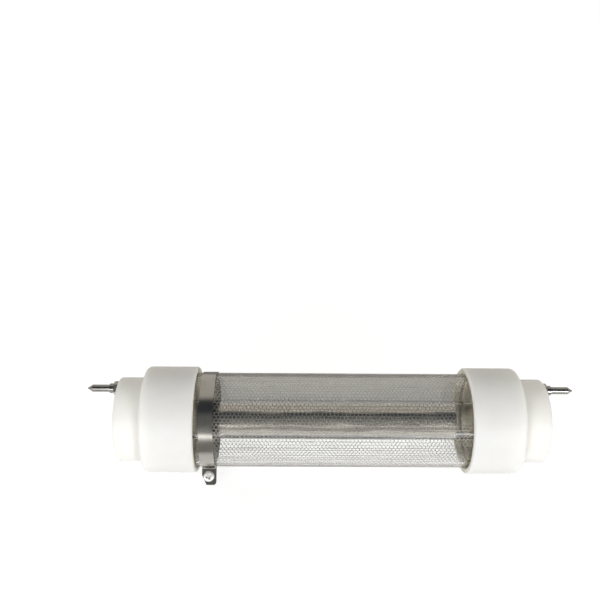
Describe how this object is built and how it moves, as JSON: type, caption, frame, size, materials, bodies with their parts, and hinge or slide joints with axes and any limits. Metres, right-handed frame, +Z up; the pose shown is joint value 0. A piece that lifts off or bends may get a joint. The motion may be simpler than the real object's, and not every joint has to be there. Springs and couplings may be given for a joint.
{
  "type": "germicidal uv lamp",
  "caption": "Coaxial quartz excimer lamp for killing germs: meshed double-walled tube between stepped white end caps, with off-centre contact pins and a band clamp.",
  "frame": {"origin": "on the surface that the lamp lies on, below the middle of the tube", "axes": "+X along the tube from the clamped end to the other end, +Z up from the surface, -Y to the side of the clamp's screw head"},
  "size_m": [0.2334, 0.05, 0.05],
  "materials": {
    "quartz": "clear fused quartz, polished by drawing and flame",
    "mesh_metal": "fine stainless mesh, dull bright",
    "sheet_metal": "rolled sheet, faint lengthwise rolling marks",
    "cap_plastic": "turned white fluoropolymer, satin",
    "band_metal": "polished stainless strip",
    "fastener_metal": "bright nickel plate",
    "pin_metal": "bright nickel plate on brass",
    "terminal_metal": "tin-plated brass",
    "seal_rubber": "translucent silicone rubber",
    "lead_cover": "white silicone sleeve"
  },
  "bodies": {
    "root": {"quartz_envelope": "quartz", "mesh_electrode": "mesh_metal", "inner_electrode": "sheet_metal", "left_end_cap": "cap_plastic", "right_end_cap": "cap_plastic", "left_seal_ring": "seal_rubber", "right_seal_ring": "seal_rubber", "clamp_band": "band_metal", "clamp_screw": "fastener_metal", "clamp_nut": "fastener_metal", "left_contact_pin": "pin_metal", "right_contact_pin": "pin_metal", "pin_lock_nuts": "fastener_metal", "pin_washers": "fastener_metal", "terminal_spring_washers": "fastener_metal", "terminal_nuts": "fastener_metal", "live_terminal": "terminal_metal", "live_lead": "lead_cover", "spring_clip": "band_metal", "earth_strip": "fastener_metal"}
  },
  "joints": []
}
